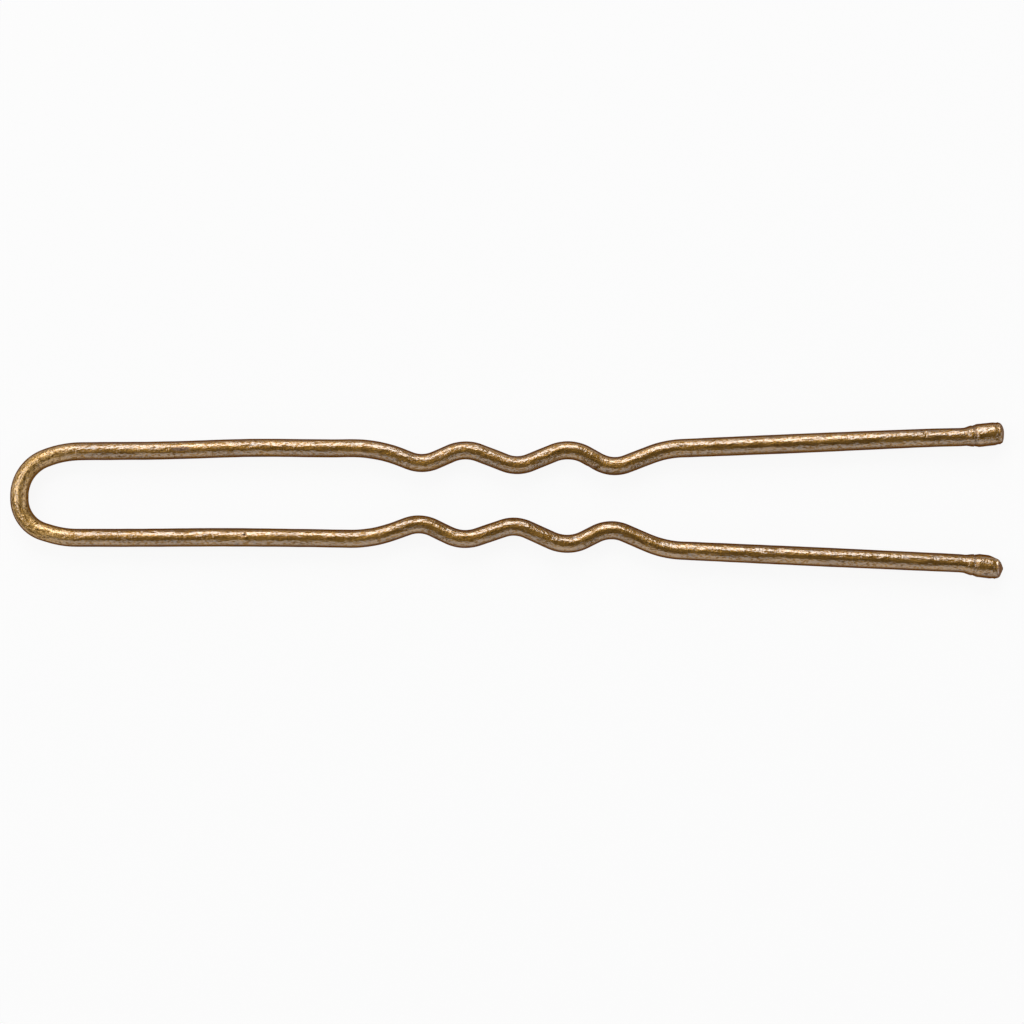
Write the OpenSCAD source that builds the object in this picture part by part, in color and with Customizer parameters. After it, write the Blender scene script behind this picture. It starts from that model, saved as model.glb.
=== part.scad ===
// Waved hairpin, bent from one length of round wire.
// The wire's centre line lies in one plane. The bow is at the -X end, the tips are at the +X end,
// and the two legs run side by side along X, the upper one at +Y and the lower one at -Y.
// A station is a distance along the pin, counted from the outside of the bow.
// A gap is the distance between the centre lines of the two legs, across the pin.

/* [Wire] */
// Diameter of the drawn wire
wire_d = 1.2; // [1:0.05:1.4]
// Length over all, from the outside of the bow to the ends of the tips
pin_length = 65; // [61:0.5:75]

// How much thinner than the bends the short straight wire between them is, all round
draw_down = 0.005; // [0.004:0.001:0.02]

/* [Bow] */
// Gap where the bow ends and the shanks begin
bow_gap = 5.65; // [5.3:0.1:6.2]
// How far behind the crown the shoulders lie
shoulder_run = 2.9; // [2.6:0.1:3.6]
// Mean slope of the two flanks between crown and shoulder, in degrees
flank_slope = 18.5; // [12:0.5:24]
// How much steeper than the mean the upper flank is, in degrees
flank_skew = 2; // [0:0.5:4]
// How far the crown is pushed over towards the lower leg
crown_shift = 0.18; // [0:0.02:0.3]
// Straight wire at the middle of the crown
crown_flat = 0.2; // [0.1:0.05:0.6]
// Bend radius of the shoulders
shoulder_r = 6.5; // [4:0.5:7]

/* [Crimps] */
// Station of the middle crest on the inside
crimp_station = 33.1; // [31:0.1:35]
// Distance from one inside crest to the next
inner_pitch = 6.2; // [5.8:0.1:6.8]
// Distance between the two outside crests
outer_pitch = 6.9; // [6.4:0.1:7.4]
// Run of the lead-in, from the end of the shank to the first inside crest
lead_in_run = 3.1; // [2.8:0.1:4]
// Run of the lead-out, from the last inside crest to the start of the prong
lead_out_run = 3.5; // [3:0.1:4.4]
// How much further from the bow the upper leg's crimps lie
crimp_stagger = 0.1; // [0:0.05:0.4]
// Gap at the end of the shanks
shank_gap = 5.95; // [5.6:0.05:6.4]
// Gap at the inside crests nearest the bow
near_throat = 3.65; // [3.2:0.05:4]
// Gap at the inside crests nearest the tips
far_throat = 3.75; // [3.3:0.05:4.1]
// Gap at the outside crests nearest the bow
near_crest_gap = 6.2; // [5.8:0.05:6.6]
// Gap at the outside crests nearest the tips
far_crest_gap = 6.65; // [6.2:0.05:7]
// Gap at the start of the prongs
heel_gap = 6.6; // [6.2:0.05:7]
// Sideways lie of the pin's midline at the lead-in
sway_in = 0.25; // [-0.3:0.01:0.3]
// Sideways lie of the pin's midline at the lead-out
sway_out = -0.08; // [-0.3:0.01:0.3]
// Bend radius of the inside crests
inner_r = 2.2; // [1.6:0.1:2.6]
// Bend radius of the outside crests
outer_r = 2.5; // [1.8:0.1:2.8]
// Bend radius of the lead-in
lead_in_r = 9; // [5:0.5:10]
// Bend radius of the lead-out
lead_out_r = 6.5; // [4:0.5:8]

/* [Tips] */
// Gap where the tips begin
tip_gap = 8.3; // [7:0.1:10]
// Outward lean of each upset tip, in degrees
tip_lean = 4.5; // [1:0.5:6]
// Bend radius of that lean
lean_r = 5; // [3:0.5:8]
// How far the upset tip swells out from the wire, all round
head_swell = 0.17; // [0.1:0.01:0.3]
// How far the flare behind the die line swells out
flare_swell = 0.1; // [0.04:0.01:0.1]
// Length of that flare
flare_length = 0.8; // [0.5:0.05:1.2]
// Depth of the die line round the tip
die_line_depth = 0.04; // [0.02:0.01:0.08]
// Width of the die line
die_line_width = 0.12; // [0.08:0.02:0.2]
// Length of the shoulder from the die line up to the full swell
swell_length = 0.2; // [0.1:0.05:0.4]
// Length of the round land at the full swell
land_length = 0.75; // [0.5:0.05:1.5]
// Length of the taper beyond the land
taper_length = 0.45; // [0.3:0.05:0.8]
// How much the taper takes off the radius
taper_drop = 0.1; // [0.05:0.01:0.2]
// Length of the round nose beyond the taper
nose_length = 0.3; // [0.1:0.05:0.4]
// How much the nose takes off the radius, down to its flat end
nose_drop = 0.34; // [0.1:0.02:0.4]

/* [Spring] */
// Station where the spring of each leg is gathered into one hinge
flex_station = 14; // [9:0.5:19]
// How far a leg opens, in degrees
open_angle = 8; // [4:0.5:10]
// Clearance left at the rim of the hinge cut when a leg is fully open
flex_clearance = 0.01; // [0.005:0.005:0.03]

/* [Hidden] */
$fn = 96;
LACQUER = [0.62, 0.45, 0.24];
UPPER = 1;
LOWER = -1;

wire_r = wire_d / 2;
head_r = wire_r + head_swell;
// The swollen tips rest on the ground, so they carry the wire's centre line at their own radius
axis_z = head_r;
bow_x = -pin_length / 2;
crown_x = bow_x + wire_r;
crimps_start = crimp_station - inner_pitch - lead_in_run;
crimps_end = crimp_station + inner_pitch + lead_out_run;

// How far the drawn-down wire runs on inside the bends
bend_lap = 0.05;

// Lengths along the head, from the end of its lean
die_line_z = flare_length;
swell_z = die_line_z + die_line_width;
land_z = swell_z + swell_length;
taper_z = land_z + land_length;
nose_z = taper_z + taper_length;
head_length = nose_z + nose_length;
taper_end_r = head_r - taper_drop;
nose_r = taper_end_r - nose_drop;

// How far the head reaches along X, from the corner of its lean to the rim of its nose
prong_slope = atan2((tip_gap - heel_gap) / 2, pin_length - crimps_end - head_length);
tip_slope = prong_slope + tip_lean;
lean_setback = lean_r * tan(tip_lean / 2);
tip_reach = (lean_setback + head_length) * cos(tip_slope) + nose_r * sin(tip_slope);
tip_x = bow_x + pin_length - tip_reach;

// The hinge cut is just wide enough for a leg's rim to clear its root when the leg is open
flex_gap = wire_d * tan(open_angle / 2) + flex_clearance;

// Rows of a leg's route, from the crown of the bow to the end of the tip
CROWN = 0;
CROWN_BEND = CROWN + 1;
SHOULDER = CROWN_BEND + 1;
LEAD_IN = len(bow_corners(UPPER));
LEAD_OUT = LEAD_IN + len(crimp_corners(UPPER)) - 1;
LEAN = LEAD_OUT + 1;

// Sideways lie of the pin's midline at a station
function sway(station) = lookup(station, [[crimps_start, sway_in], [crimps_end, sway_out]]);

// One corner of a crimped leg, as [x, y, bend radius]
function corner(side, station, gap, radius) =
    [bow_x + station, side * gap / 2 + sway(station), radius];

function bow_corners(side) =
    let (
        slope = flank_slope + side * flank_skew,
        shoulder = [crown_x + shoulder_run, side * bow_gap / 2],
        flank_y = shoulder.y - side * shoulder_run * tan(slope),
        crown_setback = abs(flank_y + crown_shift) - crown_flat / 2
    )
    [
        [crown_x, -crown_shift, 0],
        [crown_x, flank_y, crown_setback / tan((90 - slope) / 2)],
        [shoulder.x, shoulder.y, shoulder_r],
    ];

function crimp_corners(side) =
    let (middle = crimp_station + side * crimp_stagger / 2)
    [
        corner(side, middle - inner_pitch - lead_in_run, shank_gap, lead_in_r),
        corner(side, middle - inner_pitch, near_throat, inner_r),
        corner(side, middle - outer_pitch / 2, near_crest_gap, outer_r),
        corner(side, middle, (near_throat + far_throat) / 2, inner_r),
        corner(side, middle + outer_pitch / 2, far_crest_gap, outer_r),
        corner(side, middle + inner_pitch, far_throat, inner_r),
        corner(side, middle + inner_pitch + lead_out_run, heel_gap, lead_out_r),
    ];

function tip_corners(side, heel) =
    let (
        start = [tip_x, side * tip_gap / 2],
        run = start - [heel.x, heel.y],
        end = start + (lean_setback + head_length) * along(atan2(run.y, run.x) + side * tip_lean)
    )
    [[start.x, start.y, lean_r], [end.x, end.y, 0]];

// The corners of one leg's centre line, in order from the crown to the tip's end
function route(side) =
    let (crimps = crimp_corners(side))
    concat(bow_corners(side), crimps, tip_corners(side, crimps[len(crimps) - 1]));

function along(angle) = [cos(angle), sin(angle)];
function place(r, i) = [r[i].x, r[i].y];
function heading(r, i) = let (run = place(r, i + 1) - place(r, i)) atan2(run.y, run.x);
function turn(r, i) = let (t = heading(r, i) - heading(r, i - 1)) t - 360 * round(t / 360);

// Straight wire that a bend takes up on each side of its corner, as asked for
function wanted(r, i) = i == CROWN || i > LEAN ? 0 : r[i][2] * tan(abs(turn(r, i)) / 2);
// Two neighbouring bends that ask for more than the wire between them both give way
function ease(r, i) =
    min(1, norm(place(r, i + 1) - place(r, i)) / (wanted(r, i) + wanted(r, i + 1)) - 0.01);
function setback(r, i) = i == CROWN ? 0 : wanted(r, i) * min(ease(r, i - 1), ease(r, i));
function bend_start(r, i) = place(r, i) - setback(r, i) * along(heading(r, i - 1));
function bend_end(r, i) = place(r, i) + setback(r, i) * along(heading(r, i));

// Middle of the hinge cut, which lies on the straight wire behind the shoulder
function flex_point(r) =
    let (angle = heading(r, SHOULDER), run = bow_x + flex_station - r[SHOULDER].x)
    place(r, SHOULDER) + run / cos(angle) * along(angle);

// Straight wire from one point to another, run on by the lap at both ends
module straight(from, to, d = wire_d, lap = 0) {
    run = to - from;
    translate([from.x, from.y, axis_z])
        rotate([0, 90, atan2(run.y, run.x)])
            translate([0, 0, -lap])
                cylinder(d = d, h = norm(run) + 2 * lap);
}

module bend(r, i) {
    angle = turn(r, i);
    radius = setback(r, i) / tan(abs(angle) / 2);
    outward = heading(r, i - 1) - 90 * sign(angle);
    centre = bend_start(r, i) - radius * along(outward);
    translate([centre.x, centre.y, axis_z])
        rotate(min(outward, outward + angle))
            rotate_extrude(angle = abs(angle))
                translate([radius, 0])
                    circle(d = wire_d);
}

// Bends from one corner to another, with the drawn-down wire between them
module bends(r, first, last) {
    for (i = [first:last]) {
        bend(r, i);
        if (i < last)
            straight(bend_end(r, i), bend_start(r, i + 1), wire_d - 2 * draw_down, bend_lap);
    }
}

module bow() {
    ends = [for (side = [LOWER, UPPER]) bend_start(route(side), CROWN_BEND)];
    color(LACQUER) {
        straight(ends[0], ends[1], wire_d - 2 * draw_down, bend_lap);
        for (side = [LOWER, UPPER])
            bends(route(side), CROWN_BEND, SHOULDER);
    }
}

module shank_root(side) {
    r = route(side);
    face = flex_point(r) - flex_gap / 2 * along(heading(r, SHOULDER));
    color(LACQUER) straight(bend_end(r, SHOULDER), face);
}

module shank(side) {
    r = route(side);
    face = flex_point(r) + flex_gap / 2 * along(heading(r, SHOULDER));
    color(LACQUER) straight(face, bend_start(r, LEAD_IN));
}

module crimps(side) {
    color(LACQUER) bends(route(side), LEAD_IN, LEAD_OUT);
}

module prong(side) {
    r = route(side);
    color(LACQUER) straight(bend_end(r, LEAD_OUT), bend_start(r, LEAN));
}

// Half outline of the upset head: a flare, the die line, the swollen land, a taper and a round nose
module head_outline() {
    flare_steps = 6;
    nose_steps = 4;
    start_r = wire_r - draw_down;
    rim_r = wire_r + flare_swell;
    flare = [
        for (i = [1:flare_steps])
            let (rise = (1 - cos(180 * i / flare_steps)) / 2)
            [start_r + (rim_r - start_r) * rise, flare_length * i / flare_steps]
    ];
    barrel = [
        [rim_r - die_line_depth, die_line_z + die_line_width / 2],
        [rim_r, swell_z],
        [head_r, land_z],
        [head_r, taper_z],
        [taper_end_r, nose_z],
    ];
    nose = [
        for (i = [1:nose_steps])
            let (angle = 90 * i / nose_steps)
            [taper_end_r - nose_drop * (1 - cos(angle)), nose_z + nose_length * sin(angle)]
    ];
    polygon(concat([[0, -bend_lap], [start_r, -bend_lap]], flare, barrel, nose, [[0, head_length]]));
}

module tip(side) {
    r = route(side);
    start = bend_end(r, LEAN);
    color(LACQUER) {
        bend(r, LEAN);
        translate([start.x, start.y, axis_z])
            rotate([0, 90, heading(r, LEAN)])
                rotate_extrude()
                    head_outline();
    }
}

bow();
shank_root(UPPER);  // upper_shank_root
shank_root(LOWER);  // lower_shank_root
shank(UPPER);  // upper_shank
shank(LOWER);  // lower_shank
crimps(UPPER);  // upper_crimps
crimps(LOWER);  // lower_crimps
prong(UPPER);  // upper_prong
prong(LOWER);  // lower_prong
tip(UPPER);  // upper_tip
tip(LOWER);  // lower_tip
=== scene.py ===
"""A waved hairpin of bronze-lacquered wire, seen from straight above on a white sweep.

The wire's skin is formed as the pin itself is: a round section is fed and bent, stretch by
stretch, along the centre line of each leg, and the tips are upset and nipped off.
"""

import logging
import math
from dataclasses import dataclass, field
from enum import Enum
from functools import cached_property
from typing import ClassVar

import bmesh
import bpy
from mathutils import Matrix, Vector, noise


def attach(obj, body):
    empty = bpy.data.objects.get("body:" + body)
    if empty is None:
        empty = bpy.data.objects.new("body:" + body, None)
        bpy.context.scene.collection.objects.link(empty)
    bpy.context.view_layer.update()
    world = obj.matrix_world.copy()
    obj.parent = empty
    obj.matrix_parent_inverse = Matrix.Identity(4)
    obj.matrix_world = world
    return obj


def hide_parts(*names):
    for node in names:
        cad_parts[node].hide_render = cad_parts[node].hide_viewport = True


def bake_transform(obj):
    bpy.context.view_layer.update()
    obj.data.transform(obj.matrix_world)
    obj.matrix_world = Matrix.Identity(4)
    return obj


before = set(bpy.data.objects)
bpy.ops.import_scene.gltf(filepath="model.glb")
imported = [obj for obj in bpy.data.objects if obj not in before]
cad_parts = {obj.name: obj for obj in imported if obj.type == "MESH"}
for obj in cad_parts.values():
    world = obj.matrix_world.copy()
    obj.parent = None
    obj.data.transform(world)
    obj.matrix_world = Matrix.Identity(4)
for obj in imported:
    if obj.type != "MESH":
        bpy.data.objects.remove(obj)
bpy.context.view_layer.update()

LOG = logging.getLogger("hairpin")
MM = 0.001
UP = Vector((0.0, 0.0, 1.0))

Colour = tuple[float, float, float]
Rings = list[tuple[float, float]]


class Side(Enum):
    """The two legs, as they lie in the pin's own plane."""

    UPPER = 1
    LOWER = -1

    @property
    def word(self) -> str:
        """The name that the leg's pieces start with."""
        return self.name.lower()


class Slot(Enum):
    """The record's finishes."""

    WIRE = "lacquered_wire"
    TIP = "lacquered_tip"


@dataclass(frozen=True)
class Corner:
    """One corner of a leg's centre line, in millimetres, with the radius that it is bent to."""

    x: float
    y: float
    radius: float = 0.0

    @property
    def place(self) -> Vector:
        """The corner as a point in the pin's plane."""
        return Vector((self.x, self.y))


@dataclass(frozen=True)
class Stretch:
    """A straight or evenly bent stretch of centre line, in millimetres.

    Attributes:
        start: where it begins, in the pin's plane.
        heading: the way that it sets off, in radians from +X.
        length: its length along the wire.
        turn: how far it turns to the left, in radians; nought if it is straight.
        first: length of wire from the crown to its start.
    """

    start: Vector
    heading: float
    length: float
    turn: float
    first: float

    @cached_property
    def radius(self) -> float:
        """Signed bend radius, positive to the left."""
        return self.length / self.turn

    @cached_property
    def centre(self) -> Vector:
        """Centre of the bend."""
        return self.start + self.radius * along(self.heading + math.pi / 2)

    @cached_property
    def middle(self) -> Vector:
        """The point half way along."""
        return self.after(self.length / 2)[0]

    def after(self, distance: float) -> tuple[Vector, float]:
        """Follows the stretch.

        Args:
            distance: how far to go along it.

        Returns:
            The point that is reached, and the heading there.
        """
        if not self.turn:
            return self.start + distance * along(self.heading), self.heading
        heading = self.heading + distance / self.radius
        return self.centre - self.radius * along(heading + math.pi / 2), heading

    def back(self) -> "Stretch":
        """The same stretch, fed the other way."""
        end, heading = self.after(self.length)
        return Stretch(end, heading + math.pi, self.length, -self.turn, self.first)

    def locate(self, point: Vector) -> tuple[float, float, Vector]:
        """Finds a point beside the stretch.

        Args:
            point: a point in the pin's plane.

        Returns:
            Its distance along the stretch, how far to the left of it the point lies, and the
            unit vector to the left.
        """
        if not self.turn:
            run = point - self.start
            left = along(self.heading + math.pi / 2)
            return run.dot(along(self.heading)), run.dot(left), left
        spoke = point - self.centre
        bearing = math.atan2(spoke.y, spoke.x) + math.copysign(math.pi / 2, self.turn)
        swept = math.remainder(bearing - self.heading - self.turn / 2, math.tau) + self.turn / 2
        left = -math.copysign(1.0, self.turn) * spoke.normalized()
        return swept * self.radius, self.radius - math.copysign(spoke.length, self.turn), left


def along(angle: float) -> Vector:
    """Unit vector in the pin's plane at an angle in radians."""
    return Vector((math.cos(angle), math.sin(angle)))


def enter(name: str, data: bpy.types.ID) -> bpy.types.Object:
    """Puts something into the scene.

    Args:
        name: the name that it gets.
        data: its mesh, lamp or camera.

    Returns:
        The object that holds it.
    """
    entered = bpy.data.objects.new(name, data)
    bpy.context.scene.collection.objects.link(entered)
    return entered


def smooth(share: float) -> float:
    """Smooth step from nought to one."""
    share = min(max(share, 0.0), 1.0)
    return share * share * (3 - 2 * share)


@dataclass(frozen=True)
class WireStock:
    """The drawn wire, and how finely its skin is divided. Lengths in millimetres."""

    diameter: float = 1.2
    axis_height: float = 0.77
    segments: int = 48
    ring_step: float = 0.12

    @property
    def radius(self) -> float:
        """Radius of the wire."""
        return self.diameter / 2


@dataclass(frozen=True)
class BendPlan:
    """Sizes of the bent wire in millimetres and degrees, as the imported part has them.

    Every bend rounds off a corner between two straight lines. A gap or a throat lies between the
    corners of the two legs, and a pitch or a run between two corners of one leg, along the pin.
    A station is counted from the outside of the bow, near is the side of the bow and far the
    side of the tips, and a name that ends in _r is a radius.
    """

    length: float = 65.0
    bow_gap: float = 5.65
    shoulder_run: float = 2.9
    flank_slope: float = 18.5
    flank_skew: float = 2.0
    crown_shift: float = 0.18
    crown_flat: float = 0.2
    shoulder_r: float = 6.5
    crimp_station: float = 33.1
    inner_pitch: float = 6.2
    outer_pitch: float = 6.9
    lead_in_run: float = 3.1
    lead_out_run: float = 3.5
    crimp_stagger: float = 0.1
    shank_gap: float = 5.95
    near_throat: float = 3.65
    far_throat: float = 3.75
    near_crest_gap: float = 6.2
    far_crest_gap: float = 6.65
    heel_gap: float = 6.6
    sway_in: float = 0.25
    sway_out: float = -0.08
    inner_r: float = 2.2
    outer_r: float = 2.5
    lead_in_r: float = 9.0
    lead_out_r: float = 6.5
    tip_gap: float = 8.3
    tip_lean: float = 4.5
    lean_r: float = 5.0
    head_length: float = 2.62
    nose_r: float = 0.33
    wire: WireStock = field(default_factory=WireStock)

    @property
    def bow_x(self) -> float:
        """Where the outside of the bow lies."""
        return -self.length / 2

    def midline(self, station: float) -> float:
        """Sideways lie of the pin's midline.

        Args:
            station: where along the pin.

        Returns:
            How far towards +Y the midline lies there.
        """
        start = self.crimp_station - self.inner_pitch - self.lead_in_run
        end = self.crimp_station + self.inner_pitch + self.lead_out_run
        share = min(max((station - start) / (end - start), 0.0), 1.0)
        return self.sway_in + share * (self.sway_out - self.sway_in)

    def corner(self, side: Side, station: float, gap: float, radius: float) -> Corner:
        """A corner of a crimped leg, half a gap away from the midline."""
        return Corner(self.bow_x + station, side.value * gap / 2 + self.midline(station), radius)

    def bow_corners(self, side: Side) -> list[Corner]:
        """Corners of half the bow.

        Args:
            side: the leg that the half leads to.

        Returns:
            The middle of the crown, the crown's bend and the shoulder.
        """
        slope = math.radians(self.flank_slope + side.value * self.flank_skew)
        crown_x = self.bow_x + self.wire.radius
        shoulder = Corner(crown_x + self.shoulder_run, side.value * self.bow_gap / 2, self.shoulder_r)
        flank_y = shoulder.y - side.value * self.shoulder_run * math.tan(slope)
        setback = abs(flank_y + self.crown_shift) - self.crown_flat / 2
        crown_r = setback / math.tan((math.pi / 2 - slope) / 2)
        return [Corner(crown_x, -self.crown_shift), Corner(crown_x, flank_y, crown_r), shoulder]

    def crimp_corners(self, side: Side) -> list[Corner]:
        """Corners of one leg's three inside and two outside crests, with their leads.

        Args:
            side: the leg.

        Returns:
            The lead-in, the five crests and the lead-out.
        """
        middle = self.crimp_station + side.value * self.crimp_stagger / 2
        middle_throat = (self.near_throat + self.far_throat) / 2
        lead_in = middle - self.inner_pitch - self.lead_in_run
        lead_out = middle + self.inner_pitch + self.lead_out_run
        return [
            self.corner(side, lead_in, self.shank_gap, self.lead_in_r),
            self.corner(side, middle - self.inner_pitch, self.near_throat, self.inner_r),
            self.corner(side, middle - self.outer_pitch / 2, self.near_crest_gap, self.outer_r),
            self.corner(side, middle, middle_throat, self.inner_r),
            self.corner(side, middle + self.outer_pitch / 2, self.far_crest_gap, self.outer_r),
            self.corner(side, middle + self.inner_pitch, self.far_throat, self.inner_r),
            self.corner(side, lead_out, self.heel_gap, self.lead_out_r),
        ]

    def tip_corners(self, side: Side, heel: Corner) -> list[Corner]:
        """Corners of one leg's tip.

        Args:
            side: the leg.
            heel: the corner where its prong starts.

        Returns:
            The lean of the head, and the head's end.
        """
        lean = math.radians(self.tip_lean)
        rise = (self.tip_gap - self.heel_gap) / 2
        run = self.length - (self.crimp_station + self.inner_pitch + self.lead_out_run)
        slope = math.atan2(rise, run - self.head_length) + lean
        setback = self.lean_r * math.tan(lean / 2)
        reach = (setback + self.head_length) * math.cos(slope) + self.nose_r * math.sin(slope)
        start = Corner(self.bow_x + self.length - reach, side.value * self.tip_gap / 2, self.lean_r)
        prong = start.place - heel.place
        heading = math.atan2(prong.y, prong.x) + side.value * lean
        end = start.place + (setback + self.head_length) * along(heading)
        return [start, Corner(end.x, end.y)]

    def corners(self, side: Side) -> list[Corner]:
        """All corners of one leg's centre line, from the crown to the end of the head."""
        crimps = self.crimp_corners(side)
        return self.bow_corners(side) + crimps + self.tip_corners(side, crimps[-1])


class Part(Enum):
    """Stretches of a leg's route that belong to one piece, by their first and last index."""

    BOW = (0, 3)
    LEG = (4, 18)
    TIP = (19, 20)


class Route:
    """One leg's centre line: bends with the straight wire between them."""

    def __init__(self, plan: BendPlan, side: Side) -> None:
        """Works out the stretches.

        Args:
            plan: sizes of the bent wire.
            side: the leg.
        """
        self.side = side
        self.stretches: list[Stretch] = []
        corners = plan.corners(side)
        headings = [
            math.atan2(b.y - a.y, b.x - a.x) for a, b in zip(corners, corners[1:])
        ]
        turns = [math.remainder(b - a, math.tau) for a, b in zip(headings, headings[1:])]
        setbacks = [c.radius * math.tan(abs(t) / 2) for c, t in zip(corners[1:], turns)]
        here = corners[0].place
        for corner, heading, turn, setback in zip(corners[1:], headings, turns, setbacks):
            reach = (corner.place - here).length - setback
            self._add(here, heading, reach, 0.0)
            here += reach * along(heading)
            self._add(here, heading, abs(turn) * corner.radius, turn)
            here = self.stretches[-1].after(self.stretches[-1].length)[0]
        self._add(here, headings[-1], (corners[-1].place - here).length, 0.0)

    def _add(self, start: Vector, heading: float, length: float, turn: float) -> None:
        """Adds a stretch to the end of the route."""
        first = self.stretches[-1].first + self.stretches[-1].length if self.stretches else 0.0
        self.stretches.append(Stretch(start.copy(), heading, length, turn, first))

    def part(self, part: Part) -> list[Stretch]:
        """The stretches of one piece."""
        first, last = part.value
        return self.stretches[first : last + 1]

    def locate(self, point: Vector) -> tuple[float, float, Vector]:
        """Finds a point beside the wire.

        Args:
            point: a point in the pin's plane, in millimetres.

        Returns:
            The length of wire from the crown and how far outside the centre line it lies, both
            in millimetres, and the unit vector to the outside.
        """
        best = (math.inf, 0.0, 0.0, point)
        for stretch in self.stretches:
            if (point - stretch.middle).length - stretch.length / 2 > best[0]:
                continue
            distance, left, aside = stretch.locate(point)
            miss = max(-distance, distance - stretch.length, 0.0) + abs(left)
            if miss < best[0]:
                outside = self.side.value * left
                best = (miss, stretch.first + distance, outside, self.side.value * aside)
        return best[1:]

    def length_at(self, x: float) -> float:
        """Finds where the leg passes a place along the pin.

        Args:
            x: the place, in millimetres.

        Returns:
            The length of wire from the crown to there, in millimetres.
        """
        for stretch in self.stretches[Part.LEG.value[0] :]:
            end = stretch.after(stretch.length)[0]
            if end.x >= x:
                share = (x - stretch.start.x) / (end.x - stretch.start.x)
                return stretch.first + share * stretch.length
        return self.stretches[-1].first + self.stretches[-1].length


class WireFormer:
    """Feeds and bends a round section into a closed skin."""

    def __init__(self, stock: WireStock, start: Stretch) -> None:
        """Cuts the wire square at the start of a stretch.

        Args:
            stock: the wire.
            start: the first stretch that will be formed.
        """
        self.stock = stock
        self.bm = bmesh.new()
        self.here = start.start.copy()
        self.heading = start.heading
        self.radius = stock.radius
        made = bmesh.ops.create_circle(
            self.bm,
            cap_ends=True,
            segments=stock.segments,
            radius=stock.radius * MM,
            matrix=self._section(),
        )
        self.ring = list(dict.fromkeys(edge for vert in made["verts"] for edge in vert.link_edges))
        self._mark_end()

    def _section(self) -> Matrix:
        """Finds the frame of the wire's section.

        Returns:
            The frame, with its axis along the heading.
        """
        place = Vector((self.here.x, self.here.y, self.stock.axis_height)) * MM
        turned = Matrix.Rotation(self.heading, 4, "Z") @ Matrix.Rotation(math.pi / 2, 4, "Y")
        return Matrix.Translation(place) @ turned

    def _mark_end(self) -> None:
        """Keeps the shading of the open end's rim crisp."""
        for edge in self.ring:
            edge.smooth = False

    def feed(self, stretch: Stretch) -> None:
        """Forms one stretch.

        Args:
            stretch: the straight or bent stretch that follows.
        """
        steps = max(2, round(stretch.length / self.stock.ring_step))
        if stretch.turn:
            pivot = Vector((*stretch.centre, self.stock.axis_height)) * MM
            sweep = {"cent": pivot, "axis": (0, 0, 1), "angle": stretch.turn}
        else:
            step = stretch.length * MM / steps * along(stretch.heading)
            sweep = {"axis": (0, 0, 1), "dvec": (step.x, step.y, 0.0)}
        made = bmesh.ops.spin(self.bm, geom=self.ring, steps=steps, **sweep)
        self.ring = [item for item in made["geom_last"] if isinstance(item, bmesh.types.BMEdge)]
        self.here, self.heading = stretch.after(stretch.length)

    def upset(self, distance: float, radius: float) -> None:
        """Draws the open end on to a new radius.

        Args:
            distance: how far to go along the wire, in millimetres.
            radius: the radius that the end gets, in millimetres.
        """
        made = bmesh.ops.extrude_edge_only(self.bm, edges=self.ring)
        verts = [item for item in made["geom"] if isinstance(item, bmesh.types.BMVert)]
        self.ring = [item for item in made["geom"] if isinstance(item, bmesh.types.BMEdge)]
        scale = radius / self.radius
        self.here = self.here + distance * along(self.heading)
        bmesh.ops.translate(
            self.bm, verts=verts, vec=Vector((*(distance * along(self.heading)), 0.0)) * MM
        )
        place = Vector((self.here.x, self.here.y, self.stock.axis_height)) * MM
        bmesh.ops.scale(
            self.bm, verts=verts, vec=(scale,) * 3, space=Matrix.Translation(-place)
        )
        self.radius = radius

    def close(self) -> None:
        """Closes the open end and turns all faces outwards."""
        bmesh.ops.edgeloop_fill(self.bm, edges=self.ring)
        self._mark_end()
        bmesh.ops.recalc_face_normals(self.bm, faces=self.bm.faces)


@dataclass(frozen=True)
class Sway:
    """A gentle set that handling left in a leg, in millimetres.

    Attributes:
        x: where along the pin it is strongest.
        spread: how far it reaches to each side.
        shift: how far the leg lies towards +Y there.
        build_up: how much thicker the lacquer is there.
    """

    x: float
    spread: float
    shift: float
    build_up: float = 0.0

    def at(self, x: float) -> float:
        """How strongly it shows at x, from nought to one."""
        return math.exp(-(((x - self.x) / self.spread) ** 2))


@dataclass(frozen=True)
class Mark:
    """A dent, nick or chip in the lacquer.

    Attributes:
        x: where along the pin it lies, in millimetres.
        bearing: where round the wire, in degrees up from the outside of the leg.
        reach: half its length along the wire, in millimetres.
        breadth: half its breadth round the wire, in millimetres.
        depth: how deep it goes, in millimetres.
        slant: how far it leans over along the wire, in millimetres for each millimetre round it.
        bare_and_shade: how far the lacquer is gone, up to one; above it, up to two, painted shade.
        middle: how strong it would be in its middle, of which all over one makes a flat floor.
        fall: how much weaker it gets from its middle to the end of its reach.
    """

    x: float
    bearing: float
    reach: float
    breadth: float
    depth: float = 0.0
    slant: float = 0.0
    bare_and_shade: float = 1.0
    middle: float = 1.35
    fall: float = 0.9

    @property
    def span(self) -> float:
        """How far its last traces lie from its middle along the wire, in millimetres."""
        return self.middle / self.fall * (self.reach + abs(self.slant) * self.breadth)

    def strength(self, offset: float, bearing: float, radius: float) -> float:
        """How strongly the mark shows at a point.

        Args:
            offset: length of wire from the mark's middle to the point, in millimetres.
            bearing: where the point lies round the wire, in radians.
            radius: the wire's radius, in millimetres.

        Returns:
            A share from nought to one.
        """
        swept = math.remainder(bearing - math.radians(self.bearing), math.tau) * radius
        across = swept / self.breadth
        length = (offset - self.slant * swept) / self.reach
        return smooth(self.middle - self.fall * math.hypot(length, across))


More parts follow.
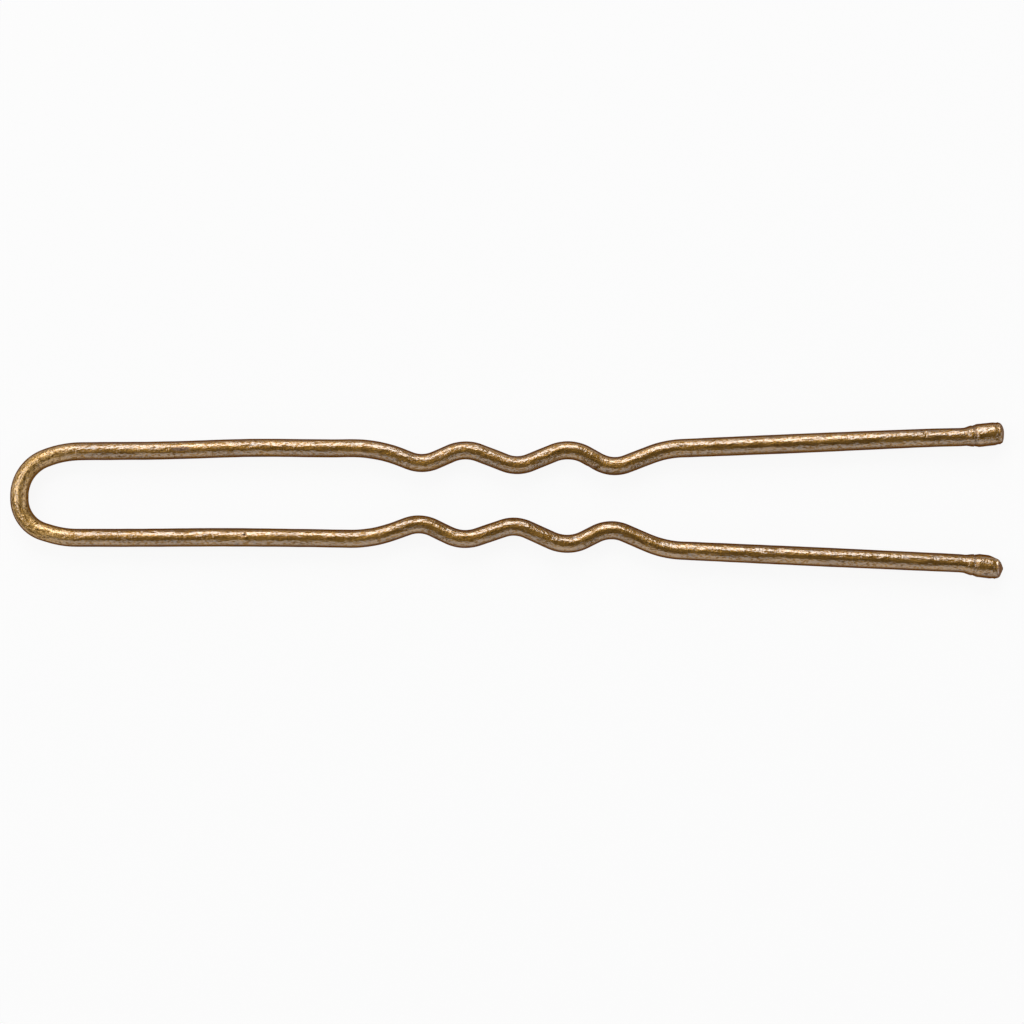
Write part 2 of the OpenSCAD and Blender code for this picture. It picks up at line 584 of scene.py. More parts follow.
@dataclass(frozen=True)
class Relief:
    """How uneven the drawn and lacquered surface is. Lengths in millimetres."""

    ripple: float = 0.014
    ripple_length: float = 0.9
    ripple_breadth: float = 0.45

    def height(self, place: Vector) -> float:
        """Height of the uneven surface.

        Args:
            place: the place along, beside and above the wire's axis, in millimetres.

        Returns:
            Its height over the drawn wire, which is never above nought.
        """
        stretched = Vector(
            (
                place.x / self.ripple_length,
                place.y / self.ripple_breadth,
                place.z / self.ripple_breadth,
            )
        )
        return self.ripple * (noise.noise(stretched) - 1) / 2


@dataclass(frozen=True)
class Speckle:
    """A soft noise that is laid over the wire.

    Attributes:
        pitch: how many features it has to a millimetre, along, beside and above the wire's axis.
        detail: how much finer detail it has.
    """

    pitch: tuple[float, float, float]
    detail: float


@dataclass(frozen=True)
class Onset:
    """The two values between which something sets in smoothly.

    Attributes:
        none: the value at which there is none of it. It may be the higher of the two.
        full: the value at which all of it is there.
        most: how much that is.
    """

    none: float
    full: float
    most: float = 1.0


class Shader:
    """A small helper that lays out the nodes of a material or of the room.

    Attributes:
        MIX_INPUTS: which inputs of a Mix node take its factor and its two colours.
        MIX_OUTPUT: which output of it gives the colour.
    """

    MIX_INPUTS = (0, 6, 7)
    MIX_OUTPUT = 2

    def __init__(self, owner: bpy.types.Material | bpy.types.World, output: str) -> None:
        """Starts with an output alone.

        Args:
            owner: the material or the world.
            output: the type of its output node.
        """
        owner.use_nodes = True
        self.tree = owner.node_tree
        self.tree.nodes.clear()
        self.output = self.add(output).inputs["Surface"]

    def add(
        self, kind: str, inputs: dict[str | int, object] | None = None, **settings: object
    ) -> bpy.types.Node:
        """Adds a node.

        Args:
            kind: the node's type.
            inputs: a value or an output for each of its inputs, by name or number.
            **settings: the node's own settings.

        Returns:
            The node.
        """
        node = self.tree.nodes.new(kind)
        for key, value in settings.items():
            setattr(node, key, value)
        for key, value in (inputs or {}).items():
            self.put(value, node.inputs[key])
        return node

    def put(self, value: object, socket: bpy.types.NodeSocket) -> None:
        """Sets an input.

        Args:
            value: a number, a vector or a colour, or an output that it is linked to.
            socket: the input.
        """
        if isinstance(value, bpy.types.NodeSocket):
            self.tree.links.new(value, socket)
        elif socket.type == "RGBA":
            socket.default_value = (*value, 1.0)
        else:
            socket.default_value = value

    def math(self, operation: str, *values: object) -> bpy.types.NodeSocket:
        """The outcome of a sum on numbers or outputs."""
        node = self.add("ShaderNodeMath", dict(enumerate(values)), operation=operation)
        return node.outputs[0]

    def mix(self, *values: object) -> bpy.types.NodeSocket:
        """A colour between two others, from a factor and the two, each a value or an output."""
        inputs = dict(zip(self.MIX_INPUTS, values))
        return self.add("ShaderNodeMix", inputs, data_type="RGBA").outputs[self.MIX_OUTPUT]

    def ramp(self, value: object, onset: Onset) -> bpy.types.NodeSocket:
        """How much of something there is, where it sets in by a number or an output."""
        limits = {0: value, 1: onset.none, 2: onset.full, 3: 0.0, 4: onset.most}
        return self.add("ShaderNodeMapRange", limits, interpolation_type="SMOOTHSTEP").outputs[0]

    def noise(self, place: object, speckle: Speckle) -> bpy.types.NodeSocket:
        """Soft noise.

        Args:
            place: the output that it is laid by.
            speckle: how fine it is.

        Returns:
            The noise's strength, about a half on average.
        """
        scaled = {0: place, 1: speckle.pitch}
        mapped = self.add("ShaderNodeVectorMath", scaled, operation="MULTIPLY")
        laid = {"Vector": mapped.outputs[0], "Scale": 1.0, "Detail": speckle.detail}
        return self.add("ShaderNodeTexNoise", laid).outputs[0]


@dataclass(frozen=True)
class Pin:
    """What all pieces of the pin share: its wire, its routes and what time left in its skin.

    Attributes:
        plan: sizes of the bent wire.
        relief: how uneven the surface is.
        sways: for each side, the gentle bends left in its leg.
        marks: for each side, the dents and chips in its leg.
        cut_bare: how far the lacquer is gone where the nippers cut, from nought to one.
    """

    plan: BendPlan
    relief: Relief
    sways: dict[Side, list[Sway]]
    marks: dict[Side, list[Mark]]
    cut_bare: float = 0.9

    @cached_property
    def routes(self) -> dict[Side, Route]:
        """Both legs' centre lines."""
        return {side: Route(self.plan, side) for side in Side}

    def drawn(self, run: list[Stretch]) -> WireFormer:
        """Forms one closed run of wire.

        Args:
            run: its stretches, in the order in which they follow each other.

        Returns:
            What formed it.
        """
        former = WireFormer(self.plan.wire, run[0])
        for stretch in run:
            former.feed(stretch)
        former.close()
        return former

    def side_of(self, point: Vector) -> Side:
        """The leg that a point in the pin's plane, in millimetres, belongs to."""
        return Side.UPPER if point.y > -self.plan.crown_shift else Side.LOWER

    def weather(self, bm: bmesh.types.BMesh, bare_and_shade_from: float) -> None:
        """Gives a formed skin its uneven surface, its marks and its gentle bends.

        Args:
            bm: the skin, which also gets the attributes that its finish reads.
            bare_from: the length of wire from the crown from which the lacquer is gone.
        """
        place_layer = bm.verts.layers.float_vector.new("wire_place")
        bare_and_shade_layer = bm.verts.layers.float.new("bare_and_shade")
        spots = {
            side: [(self.routes[side].length_at(mark.x), mark) for mark in self.marks[side]]
            for side in Side
        }
        for vert in bm.verts:
            flat = Vector((vert.co.x, vert.co.y)) / MM
            side = self.side_of(flat)
            length, outside, aside = self.routes[side].locate(flat)
            above = vert.co.z / MM - self.plan.wire.axis_height
            place = Vector((side.value * length, outside, above))
            vert[place_layer] = place
            radius = math.hypot(outside, above)
            bearing = math.atan2(above, outside)
            skin_share = smooth(radius / self.plan.wire.radius)
            rise = self.relief.height(place) * skin_share
            vert[bare_and_shade_layer] = self.cut_bare if length > bare_and_shade_from else 0.0
            for middle, mark in spots[side]:
                if abs(length - middle) < mark.span:
                    share = mark.strength(length - middle, bearing, radius)
                    rise -= mark.depth * share
                    # A bare value over one carries painted shade to the finish.
                    vert[bare_and_shade_layer] = max(vert[bare_and_shade_layer], mark.bare_and_shade * share)
            shift = 0.0
            for sway in self.sways[side]:
                share = sway.at(flat.x)
                shift += sway.shift * share
                rise += sway.build_up * share * skin_share
            out = Vector((*(aside * outside), above)).normalized()
            vert.co += (rise * out + Vector((0.0, shift, 0.0))) * MM

    def skin(
        self,
        former: WireFormer,
        name: str,
        material: bpy.types.Material,
        bare_and_shade_from: float = math.inf,
    ) -> bpy.types.Object:
        """Makes a formed skin into a finished piece.

        Args:
            former: what formed the skin.
            name: the piece's name.
            material: its finish.
            bare_from: the length of wire from the crown from which the lacquer is gone.

        Returns:
            The piece.
        """
        self.weather(former.bm, bare_and_shade_from)
        mesh = bpy.data.meshes.new(name)
        former.bm.to_mesh(mesh)
        former.bm.free()
        mesh.materials.append(material)
        piece = enter(name, mesh)
        LOG.info("%s: %d faces", name, len(mesh.polygons))
        return piece


@dataclass(frozen=True)
class Bow:
    """The bow, from the end of one shoulder round the crown to the end of the other."""

    name: str = "bow_wire"

    def build(self, pin: Pin, material: bpy.types.Material) -> bpy.types.Object:
        """Forms the bow in one run of wire.

        Args:
            pin: the pin that it is part of.
            material: its finish.

        Returns:
            The piece, which stands for the bow's node and rides on its body.
        """
        lower = [stretch.back() for stretch in reversed(pin.routes[Side.LOWER].part(Part.BOW))]
        run = lower + pin.routes[Side.UPPER].part(Part.BOW)
        piece = pin.skin(pin.drawn(run), self.name, material)
        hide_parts("bow")
        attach(piece, "bow")
        return piece


@dataclass(frozen=True)
class Leg:
    """One leg, from the end of its shoulder to the start of its head.

    Attributes:
        side: which leg it is.
        flex_station: where along the pin its spring is gathered, in millimetres from the bow; not
            used.
        flex_reach: how far to each side of that the wire bends, in millimetres; not used.
    """

    side: Side
    flex_station: float = 14.0
    flex_reach: float = 9.0

    def build(self, pin: Pin, material: bpy.types.Material) -> bpy.types.Object:
        """Forms the leg.

        Args:
            pin: the pin that it is part of.
            material: its finish.

        Returns:
            The piece, with its place baked into its mesh.
        """
        word = self.side.word
        former = pin.drawn(pin.routes[self.side].part(Part.LEG))
        piece = pin.skin(former, f"{word}_leg_wire", material)
        nodes = [f"{word}_{part}" for part in ("shank_root", "shank", "crimps", "prong")]
        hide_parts(*nodes)
        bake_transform(piece)
        return piece


@dataclass(frozen=True)
class Facet:
    """One cut of the nippers across the nose.

    Attributes:
        tilt: how far the cut face leans away from square, in degrees.
        bearing: where round the wire it leans to, in degrees up from the outside of the leg.
        back: how far behind the end of the head it crosses the wire's axis, in millimetres.
    """

    tilt: float
    bearing: float
    back: float


@dataclass(frozen=True)
class Head:
    """The upset head of one leg, in millimetres.

    Attributes:
        DIE_LINE, RIM: profiles of the groove and of the rim, each feed as a share of the width
            with the share of the depth there.
        side: the leg.
        facets: the nippers' cuts across its nose.
        flare_length: how far the wire swells up to the die line.
        flare_swell: how much larger its radius is there.
        die_line_width: breadth of the groove where the die's halves met.
        die_line_depth: depth of that groove.
        swell_length: length of the shoulder, from the die line up to the land.
        swell: how much larger than the wire's the land's radius is.
        land_length: length of the even land.
        taper_length: how far the head narrows in front of the land.
        taper_drop: how much it narrows there.
        lip_length: length of the low lip that the nippers pushed up.
        lip_rise: how high the lip is.
        rim_width: length of the rounded rim in front of the lip.
        rim_step: how far the nose's edge lies within the lip.
        burr: how far the edges of the cuts are worn round.
        flare_rings: how many rings of the skin the flare has.
        body_rings: how many the shoulder, the land and the taper have each.
        lip_rings: how many the lip has.
        nose_rings: how many a whole nose would have, of which the last is left flat.
        burr_rings: how many faces a worn edge has across it.
    """

    DIE_LINE: ClassVar[Rings] = [(1 / 8, 1 / 4), (1 / 4, 1), (1 / 4, 1), (1 / 4, 1 / 4), (1 / 8, 0)]
    RIM: ClassVar[Rings] = [(1 / 2, 0.3), (1 / 2, 1)]

    side: Side
    facets: tuple[Facet, ...]
    flare_length: float = 0.62
    flare_swell: float = 0.1
    die_line_width: float = 0.12
    die_line_depth: float = 0.03
    swell_length: float = 0.25
    swell: float = 0.16
    land_length: float = 0.85
    taper_length: float = 0.3
    taper_drop: float = 0.04
    lip_length: float = 0.09
    lip_rise: float = 0.02
    rim_width: float = 0.05
    rim_step: float = 0.04
    burr: float = 0.015
    flare_rings: int = 12
    body_rings: int = 6
    lip_rings: int = 4
    nose_rings: int = 9
    burr_rings: int = 2

    def eased(self, length: float, start: float, end: float, count: int) -> Rings:
        """A smooth change of radius.

        Args:
            length: how long it takes.
            start: the radius that it starts from.
            end: the radius that it reaches.
            count: how many rings it has.

        Returns:
            The feed and the radius of each ring.
        """
        shares = [smooth(step / count) for step in range(1, count + 1)]
        return [(length / count, start + (end - start) * share) for share in shares]

    def sunk(self, profile: Rings, width: float, depth: float, radius: float) -> Rings:
        """Sinks a profile into the head.

        Args:
            profile: each feed as a share of the width, with the share of the depth there.
            width: the profile's length along the head.
            depth: how deep it goes.
            radius: the radius that it goes down from.

        Returns:
            The feed and the radius of each ring.
        """
        return [(width * feed, radius - depth * share) for feed, share in profile]

    def dome(self, length: float, radius: float) -> Rings:
        """The elliptical nose.

        Args:
            length: its length.
            radius: the radius that it closes from.

        Returns:
            The feed and the radius of each ring.
        """
        turns = [math.pi / 2 * step / self.nose_rings for step in range(self.nose_rings)]
        return [
            (length * (math.sin(turn) - math.sin(before)), radius * math.cos(turn))
            for before, turn in zip(turns, turns[1:])
        ]

    def outline(self, wire: WireStock, length: float) -> Rings:
        """The head's outline.

        Args:
            wire: the wire that it is upset from.
            length: the head's length.

        Returns:
            The feed and the radius of each ring, from the wire to the end of the nose.
        """
        flare_r = wire.radius + self.flare_swell
        land_r = wire.radius + self.swell
        taper_r = land_r - self.taper_drop
        lip_r = taper_r + self.lip_rise
        return [
            *self.eased(self.flare_length, wire.radius, flare_r, self.flare_rings),
            *self.sunk(self.DIE_LINE, self.die_line_width, self.die_line_depth, flare_r),
            *self.eased(self.swell_length, flare_r, land_r, self.body_rings),
            *self.eased(self.land_length, land_r, land_r, self.body_rings),
            *self.eased(self.taper_length, land_r, taper_r, self.body_rings),
            *self.eased(self.lip_length, taper_r, lip_r, self.lip_rings),
            *self.sunk(self.RIM, self.rim_width, self.rim_step, lip_r),
            *self.dome(self.nose_length(length), lip_r - self.rim_step),
        ]

    def nose_length(self, length: float) -> float:
        """How long the nose is.

        Args:
            length: the head's length.

        Returns:
            What the rest of the head leaves of that.
        """
        swell = self.flare_length + self.die_line_width + self.swell_length
        end = self.taper_length + self.lip_length + self.rim_width
        return length - swell - self.land_length - end

    def nip(self, former: WireFormer, pin: Pin) -> None:
        """Cuts the nose to its facets.

        Args:
            former: what formed the head, with its nose closed.
            pin: the pin that it is part of.
        """
        head = pin.routes[self.side].stretches[-1]
        tip = Vector((*former.here, pin.plan.wire.axis_height)) * MM
        axis = Vector((*along(head.heading), 0.0))
        outside = Vector((*(self.side.value * along(head.heading + math.pi / 2)), 0.0))
        for facet in self.facets:
            bearing = math.radians(facet.bearing)
            tilt = math.radians(facet.tilt)
            lean = math.cos(bearing) * outside + math.sin(bearing) * UP
            cut = bmesh.ops.bisect_plane(
                former.bm,
                geom=[*former.bm.verts, *former.bm.edges, *former.bm.faces],
                plane_co=tip - facet.back * MM * axis,
                plane_no=math.cos(tilt) * axis + math.sin(tilt) * lean,
                clear_outer=True,
            )
            edges = [item for item in cut["geom_cut"] if isinstance(item, bmesh.types.BMEdge)]
            if edges:
                made = bmesh.ops.contextual_create(former.bm, geom=edges)
                rims = list(dict.fromkeys(edge for face in made["faces"] for edge in face.edges))
                bmesh.ops.bevel(
                    former.bm,
                    geom=rims,
                    offset=self.burr * MM,
                    affect="EDGES",
                    segments=self.burr_rings,
                    profile=0.5,
                    material=-1,
                )

    def build(self, pin: Pin, material: bpy.types.Material) -> bpy.types.Object:
        """Forms the head.

        Args:
            pin: the pin that it is part of.
            material: its finish.

        Returns:
            The piece, which stands for the leg's tip and rides with the leg.
        """
        lean, head = pin.routes[self.side].part(Part.TIP)
        former = WireFormer(pin.plan.wire, lean)
        former.feed(lean)
        for feed, radius in self.outline(pin.plan.wire, head.length):
            former.upset(feed, radius)
        former.close()
        self.nip(former, pin)
        # The lacquer ends just in front of the rim, where the nippers' cut begins.
        bare_nose = self.nose_length(head.length) - self.rim_width / 4
        end = head.first + head.length
        piece = pin.skin(former, f"{self.side.word}_head", material, end - bare_nose)
        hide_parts(f"{self.side.word}_tip")
        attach(piece, f"{self.side.word}_leg")
        return piece


@dataclass(frozen=True)
class Skin:
    """What a finish reads of a point on the wire, as outputs of nodes.

    They are how far the lacquer is gone, with painted shade where that is over one, the four
    noises that lie over it, how far the point lies at the wire's sides, and how far the bow's crown
    is worn and lightened with a painted highlight.
    """

    bare_and_shade: bpy.types.NodeSocket
    blotches: bpy.types.NodeSocket
    grain: bpy.types.NodeSocket
    ribs: bpy.types.NodeSocket
    streaks: bpy.types.NodeSocket
    flank: bpy.types.NodeSocket
    crown: bpy.types.NodeSocket


@dataclass(frozen=True)
class Lacquer:
    """Bronze-gold lacquer baked on steel wire.

    Attributes:
        name: the material's name.
        gold: colour where the lacquer lies thin and bright.
        bronze: its usual colour.
        umber: colour where it has gathered and darkened.
        edge_shade: colour of the wire's sides, a painted shade that darkens them towards the outline.
        steel: colour where it has chipped off.
        pit_shade: colour of the painted shade that darkens the deepest marks.
        rubbed_highlight: the crown's worn matt gold, lightened as a painted highlight.
        roughness: how rough the bronze is where it lies bright.
        relief, grain, ribs: depth in millimetres of its mottling, of its fine grain, and of the
            marks that drawing and bending left across the wire.
        edge: tint of its gloss at a glancing angle.
        coat_ior, coat_roughness: refractive index and roughness of the clear top coat.
        flow: how much of the unevenness still shows on the top coat, which has flowed over it.
        rub: how much of the top coat is worn off the crown.
        edge_shade_share: how strongly that painted shade lies on the sides.
        blotch, grit, ribbing, streak: how fine the four noises are.
        flank_onset: the sides, by the height over the axis as a share of the radius.
        crown_onset: the crown, by millimetres of wire from its middle.
        rub_onset: the worn and lightened speckle on the crown, by the grain.
        gold_onset: gold on the bronze, by the streaks.
        dip_onset, pit_onset: umber in the dips and pits, by the mottling and the grain.
        gap_onset: gaps in the top coat, by the grain.
        dull_onset: roughness that is added, by the mottling.
        steel_onset, pit_shade_onset: chipped steel, and painted shade over it, by the bare value.
    """

    name: str
    gold: Colour = (0.36, 0.188, 0.038)
    bronze: Colour = (0.255, 0.128, 0.023)
    umber: Colour = (0.09, 0.042, 0.011)
    edge_shade: Colour = (0.125, 0.058, 0.018)
    steel: Colour = (0.24, 0.15, 0.095)
    pit_shade: Colour = (0.02, 0.012, 0.008)
    rubbed_highlight: Colour = (0.64, 0.39, 0.13)
    roughness: float = 0.43
    relief: float = 0.07
    grain: float = 0.018
    ribs: float = 0.016
    edge: Colour = (0.3, 0.2, 0.12)
    coat_ior: float = 2.3
    coat_roughness: float = 0.06
    flow: float = 0.75
    rub: float = 0.6
    edge_shade_share: float = 0.8
    blotch: Speckle = Speckle((1.5, 3.4, 3.4), 3.0)
    grit: Speckle = Speckle((5.0, 9.0, 9.0), 3.0)
    ribbing: Speckle = Speckle((9.0, 0.8, 0.8), 1.0)
    streak: Speckle = Speckle((0.35, 3.2, 3.2), 2.0)
    flank_onset: Onset = Onset(0.78, 0.5)
    crown_onset: Onset = Onset(6.0, 3.0)
    rub_onset: Onset = Onset(0.35, 0.6)
    gold_onset: Onset = Onset(0.44, 0.6)
    dip_onset: Onset = Onset(0.4, 0.3, most=0.5)
    pit_onset: Onset = Onset(0.4, 0.3, most=0.6)
    gap_onset: Onset = Onset(0.5, 0.42, most=0.8)
    dull_onset: Onset = Onset(0.6, 0.3, most=0.1)
    steel_onset: Onset = Onset(0.2, 0.8)
    pit_shade_onset: Onset = Onset(1.1, 1.9)

    def build(self) -> bpy.types.Material:
        """Lays out the finish by the wire's own length, sides and top.

        Returns:
            The material.
        """
        material = bpy.data.materials.new(self.name)
        shader = Shader(material, "ShaderNodeOutputMaterial")
        skin = self.skin(shader)
        dull = shader.ramp(skin.blotches, self.dull_onset)
        height = self.height(shader, skin)
        bump = {"Height": height, "Distance": MM}
        flowed = {"Height": height, "Distance": self.flow * MM}
        inputs = {
            "Base Color": self.colour(shader, skin),
            "Metallic": 1.0,
            "Roughness": shader.math("ADD", dull, self.roughness),
            "Normal": shader.add("ShaderNodeBump", bump).outputs[0],
            "Specular Tint": self.edge,
            "Coat Weight": self.coat(shader, skin),
            "Coat IOR": self.coat_ior,
            "Coat Roughness": self.coat_roughness,
            "Coat Normal": shader.add("ShaderNodeBump", flowed).outputs[0],
        }
        shader.put(shader.add("ShaderNodeBsdfPrincipled", inputs).outputs[0], shader.output)
        return material

    def skin(self, shader: Shader) -> Skin:
        """Reads the mesh's attributes, and lays the noises over the wire.

        Args:
            shader: the material that it is for.

        Returns:
            What the other layers of the finish go by.
        """
        place = shader.add("ShaderNodeAttribute", attribute_name="wire_place").outputs["Vector"]
        bare_and_shade = shader.add("ShaderNodeAttribute", attribute_name="bare_and_shade").outputs["Fac"]
        parts = shader.add("ShaderNodeSeparateXYZ", {0: place}).outputs
        grain = shader.noise(place, self.grit)
        near = shader.ramp(shader.math("ABSOLUTE", parts[0]), self.crown_onset)
        return Skin(
            bare_and_shade=bare_and_shade,
            blotches=shader.noise(place, self.blotch),
            grain=grain,
            ribs=shader.noise(place, self.ribbing),
            streaks=shader.noise(place, self.streak),
            flank=self.flank(shader, parts),
            crown=shader.math("MULTIPLY", near, shader.ramp(grain, self.rub_onset)),
        )

    def flank(self, shader: Shader, place: bpy.types.NodeOutputs) -> bpy.types.NodeSocket:
        """How far round the wire a place lies from its top or underside.

        Args:
            shader: the material that it is for.
            place: the place along, beside and above the wire's axis.

        Returns:
            A share from nought to one, which it is at the sides.
        """
        outside = shader.math("MULTIPLY", place[1], place[1])
        above = shader.math("MULTIPLY", place[2], place[2])
        around = shader.math("SQRT", shader.math("ADD", outside, above))
        lift = shader.math("DIVIDE", shader.math("ABSOLUTE", place[2]), around)
        return shader.ramp(lift, self.flank_onset)

    def colour(self, shader: Shader, skin: Skin) -> bpy.types.NodeSocket:
        """Colour of the lacquer, with each layer laid over the one before it.

        Args:
            shader: the material that it is for.
            skin: what it goes by.

        Returns:
            The colour.
        """
        layers = (
            (shader.ramp(skin.streaks, self.gold_onset), self.gold),
            (shader.ramp(skin.blotches, self.dip_onset), self.umber),
            (shader.ramp(skin.grain, self.pit_onset), self.umber),
            # The crown is worn, and its lighter gold is also a painted highlight.
            (skin.crown, self.rubbed_highlight),
            # Painted shade: the sides are darkened towards the outline by their angle round the wire.
            (shader.math("MULTIPLY", skin.flank, self.edge_shade_share), self.edge_shade),
            (shader.ramp(skin.bare_and_shade, self.steel_onset), self.steel),
            # Painted shade: marks with a bare value over one are darkened to near black, as a pit or
            # crease in shade is.
            (shader.ramp(skin.bare_and_shade, self.pit_shade_onset), self.pit_shade),
        )
        colour = self.bronze
        for share, above in layers:
            colour = shader.mix(share, colour, above)
        return colour

    def coat(self, shader: Shader, skin: Skin) -> bpy.types.NodeSocket:
        """How much of the clear top coat is left.

        Args:
            shader: the material that it is for.
            skin: what it goes by.

        Returns:
            A share from nought to one.
        """
        # The sides, where shade is painted, also lose the top coat so that they reflect less;
        # elsewhere it is lost to wear, chips and gaps.
        coat_loss = shader.math("MAXIMUM", skin.flank, shader.math("MULTIPLY", skin.crown, self.rub))
        coat_loss = shader.math("MAXIMUM", coat_loss, shader.ramp(skin.bare_and_shade, self.steel_onset))
        coat_loss = shader.math("MAXIMUM", coat_loss, shader.ramp(skin.grain, self.gap_onset))
        return shader.math("SUBTRACT", 1.0, coat_loss)

    def height(self, shader: Shader, skin: Skin) -> bpy.types.NodeSocket:
        """Height of the mottling, the grain and the ribs together.

        Args:
            shader: the material that it is for.
            skin: what it goes by.

        Returns:
            The height in millimetres.
        """
        height = shader.math("MULTIPLY", skin.blotches, self.relief)
        height = shader.math("MULTIPLY_ADD", skin.grain, self.grain, height)
        return shader.math("MULTIPLY_ADD", skin.ribs, self.ribs, height)


@dataclass(frozen=True)
class Softbox:
    """A soft lamp that faces the pin. Lengths in metres, angles in degrees.

    Attributes:
        name: the lamp's name.
        azimuth: which way it stands, counted from +X towards +Y.
        lean: how far it stands from straight overhead.
        length: its size along the horizon.
        breadth: its size up and down.
        level: how bright its face is, where one is a white card in plain light.
        distance: how far from the pin it stands.
    """

    name: str
    azimuth: float
    lean: float
    length: float
    breadth: float
    level: float
    distance: float = 0.6

    def build(self) -> bpy.types.Object:
        """Hangs the lamp.

        Returns:
            The lamp.
        """
        lamp = bpy.data.lights.new(self.name, "AREA")
        lamp.shape = "RECTANGLE"
        lamp.size = self.length
        lamp.size_y = self.breadth
        lamp.energy = self.level * math.pi * self.length * self.breadth
        azimuth, lean = math.radians(self.azimuth), math.radians(self.lean)
        away = Vector((*(math.sin(lean) * along(azimuth)), math.cos(lean)))
        hung = enter(self.name, lamp)
        hung.location = self.distance * away
        hung.rotation_euler = away.to_track_quat("Z", "Y").to_euler()
        LOG.info("%s: %.1f W", self.name, lamp.energy)
        return hung


@dataclass(frozen=True)
class Studio:
    """The white sweep, the room, the lamps and the camera. Lengths in metres.

    Attributes:
        softboxes: the lamps.
        sweep_radius: how far the floor reaches.
        sweep_segments: how many sides it has.
        sweep_colour: the colour that the floor throws on to the pin.
        sweep_glow: how bright the lit floor is by itself.
        sweep_shade: how much of the floor's brightness a shadow can take away.
        ceiling: brightness of the room overhead.
        horizon: brightness of the pale walls near the floor.
        horizon_height: how high the walls reach, as the sine of the angle above the floor.
        view_centre: the point of the pin's plane in the middle of the picture.
        view_width: how much of the pin's plane the picture is wide.
        view_roll: how far the pin is turned clockwise in the picture, in degrees.
        lens: focal length of the camera in millimetres.
        sensor: breadth of its sensor in millimetres.
        nearest: how near it sees.
    """

    softboxes: tuple[Softbox, ...]
    sweep_radius: float = 1.5
    sweep_segments: int = 64
    sweep_colour: Colour = (0.8, 0.8, 0.8)
    sweep_glow: float = 0.908
    sweep_shade: float = 0.07
    ceiling: float = 0.03
    horizon: float = 0.5
    horizon_height: float = 0.2
    view_centre: tuple[float, float] = (0.000318, -0.000966)
    view_width: float = 0.066965
    view_roll: float = 0.333
    lens: float = 100.0
    sensor: float = 36.0
    nearest: float = 0.01

    def floor(self) -> bpy.types.Object:
        """Lays the sweep, which looks white and still takes the pin's shadow.

        Returns:
            The sweep.
        """
        bm = bmesh.new()
        bmesh.ops.create_circle(
            bm, cap_ends=True, segments=self.sweep_segments, radius=self.sweep_radius
        )
        mesh = bpy.data.meshes.new("sweep")
        bm.to_mesh(mesh)
        bm.free()
        sweep = enter("sweep", mesh)
        material = bpy.data.materials.new("white_sweep")
        mesh.materials.append(material)
        shader = Shader(material, "ShaderNodeOutputMaterial")
        path = shader.add("ShaderNodeLightPath")
        seen = shader.math("MAXIMUM", path.outputs["Is Camera Ray"], path.outputs["Is Glossy Ray"])
        seen = shader.math("MAXIMUM", seen, path.outputs["Is Transmission Ray"])
        paper = shader.add("ShaderNodeBsdfDiffuse", {"Color": self.sweep_colour})
        veil = shader.add("ShaderNodeBsdfDiffuse", {"Color": (self.sweep_shade,) * 3})
        glow = shader.add("ShaderNodeEmission", {"Strength": self.sweep_glow})
        lit = shader.add("ShaderNodeAddShader", {0: veil.outputs[0], 1: glow.outputs[0]})
        parts = {0: seen, 1: paper.outputs[0], 2: lit.outputs[0]}
        shader.put(shader.add("ShaderNodeMixShader", parts).outputs[0], shader.output)
        return sweep

    def room(self) -> None:
        """Gives the room a dim ceiling and pale walls near the floor."""
        world = bpy.data.worlds.new("room")
        shader = Shader(world, "ShaderNodeOutputWorld")
        place = shader.add("ShaderNodeTexCoord").outputs["Generated"]
        height = shader.add("ShaderNodeSeparateXYZ", {0: place}).outputs[2]
        limits = dict(enumerate((height, 0.0, self.horizon_height, self.horizon, self.ceiling)))
        level = shader.add("ShaderNodeMapRange", limits, interpolation_type="SMOOTHSTEP")
        light = shader.add("ShaderNodeBackground", {"Strength": level.outputs[0]})
        shader.put(light.outputs[0], shader.output)
        bpy.context.scene.world = world

    def camera(self, height: float) -> bpy.types.Object:
        """Sets the camera straight above the pin.

        Args:
            height: height of the pin's own plane over the floor.

        Returns:
            The camera.
        """
        data = bpy.data.cameras.new("camera")
        data.lens = self.lens
        data.sensor_width = self.sensor
        data.clip_start = self.nearest
        camera = enter("camera", data)
        distance = self.view_width * self.lens / self.sensor
        camera.location = (*self.view_centre, height + distance)
        camera.rotation_euler = (0.0, 0.0, math.radians(self.view_roll))
        bpy.context.scene.camera = camera
        return camera

    def build(self, height: float) -> None:
        """Sets up the studio around the pin.

        Args:
            height: height of the pin's own plane over the floor.
        """
        bpy.context.scene.view_settings.view_transform = "Standard"
        self.floor()
        self.room()
        for softbox in self.softboxes:
            softbox.build()
        self.camera(height)


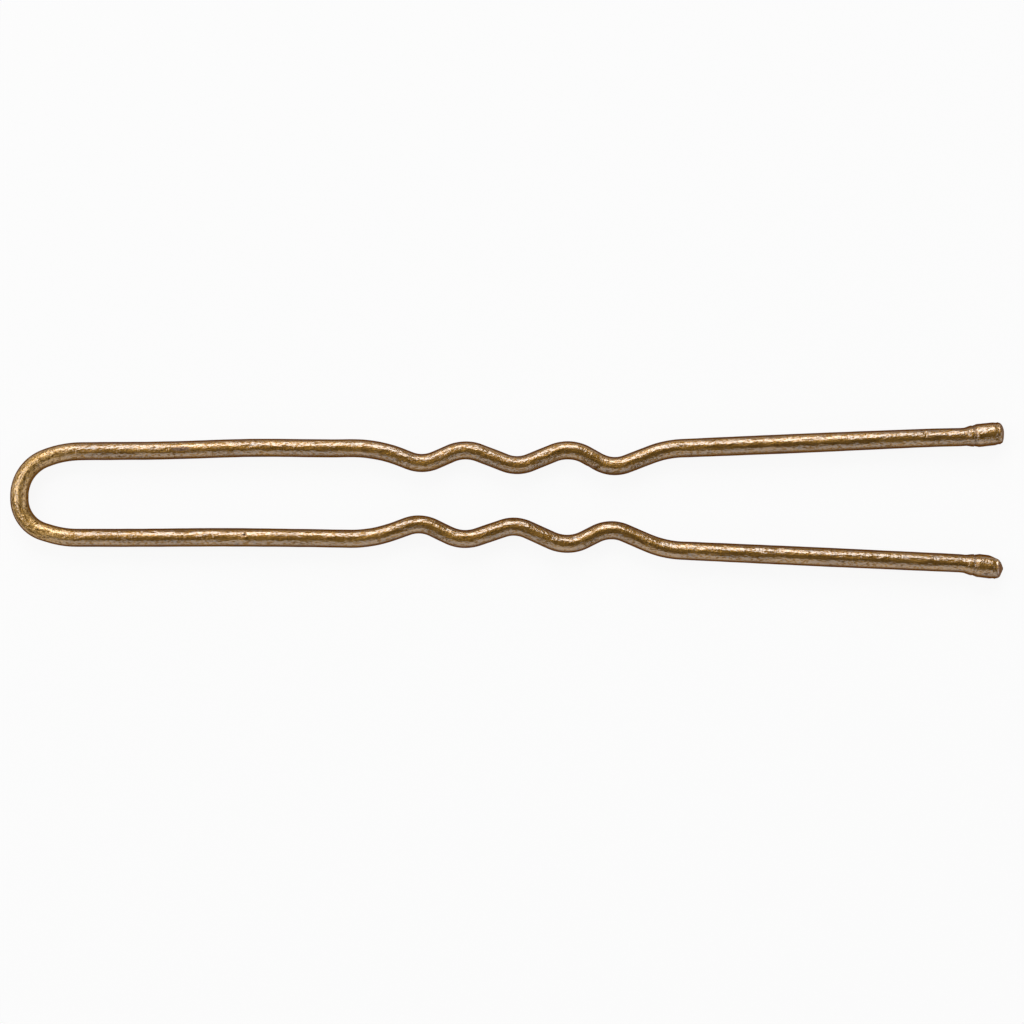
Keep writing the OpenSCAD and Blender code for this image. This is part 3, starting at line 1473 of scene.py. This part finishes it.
SWAYS = {
    Side.UPPER: [
        Sway(-23.3, 3.0, -0.03),
        Sway(-16.8, 3.0, 0.06),
        Sway(-10.9, 2.5, -0.05),
        Sway(19.0, 7.5, -0.01, build_up=0.04),
        Sway(32.0, 3.0, -0.09),
    ],
    Side.LOWER: [
        Sway(-18.7, 4.0, 0.04, build_up=0.015),
        Sway(-9.6, 2.5, -0.05),
        Sway(20.0, 8.0, 0.0, build_up=0.03),
    ],
}
MARKS = {
    Side.UPPER: [
        Mark(x=-21.3, bearing=83, reach=0.65, breadth=0.16, depth=0.012),
        Mark(x=5.8, bearing=150, reach=0.16, breadth=0.35, depth=0.06, slant=-0.6, bare_and_shade=0.8),
        Mark(x=27.7, bearing=138, reach=0.13, breadth=0.22, depth=0.05, slant=-0.9, bare_and_shade=0.0),
        Mark(x=27.2, bearing=50, reach=0.12, breadth=0.4, depth=0.035, slant=0.5, bare_and_shade=0.0),
        # Painted shade darkens the die line's crease, through a bare value over one.
        Mark(x=30.56, bearing=62, reach=0.035, breadth=0.45, slant=0.1, bare_and_shade=1.6),
    ],
    Side.LOWER: [
        # Painted shade makes this pit near black, through a bare value of two.
        Mark(x=-17.13, bearing=107, reach=0.1, breadth=0.09, depth=0.03, bare_and_shade=2.0),
    ],
}
SOFTBOXES = (
    Softbox("key_softbox", azimuth=96, lean=52.5, length=0.5, breadth=0.36, level=4.7),
    Softbox("fill_softbox", azimuth=-90, lean=63, length=0.6, breadth=0.55, level=1.0),
    Softbox("tip_softbox", azimuth=-5, lean=62, length=0.5, breadth=0.45, level=1.3),
    Softbox("bow_softbox", azimuth=166, lean=41, length=0.35, breadth=0.45, level=3.0),
)
WEDGE = (Facet(19, 0, -0.02), Facet(38, 180, -0.02), Facet(32, 75, -0.01), Facet(72, 180, -1.3))
BLUNT = (Facet(9, 190, 0.08),)
HEADS = (
    Head(Side.UPPER, BLUNT, flare_length=0.55, land_length=0.98, lip_rise=0.012),
    Head(Side.LOWER, WEDGE, flare_length=0.6, land_length=0.8, taper_length=0.28),
)


def main() -> None:
    """Builds the pin and its studio."""
    logging.basicConfig(level=logging.INFO, format="%(name)s: %(message)s")
    plan = BendPlan()
    pin = Pin(plan, Relief(), SWAYS, MARKS)
    wire_finish = Lacquer("bronze_lacquer").build()
    head_finish = Lacquer("head_lacquer").build()
    Bow().build(pin, wire_finish)
    for side in Side:
        Leg(side).build(pin, wire_finish)
    for head in HEADS:
        head.build(pin, head_finish)
    Studio(SOFTBOXES).build(plan.wire.axis_height * MM)


if __name__ == "__main__":
    main()
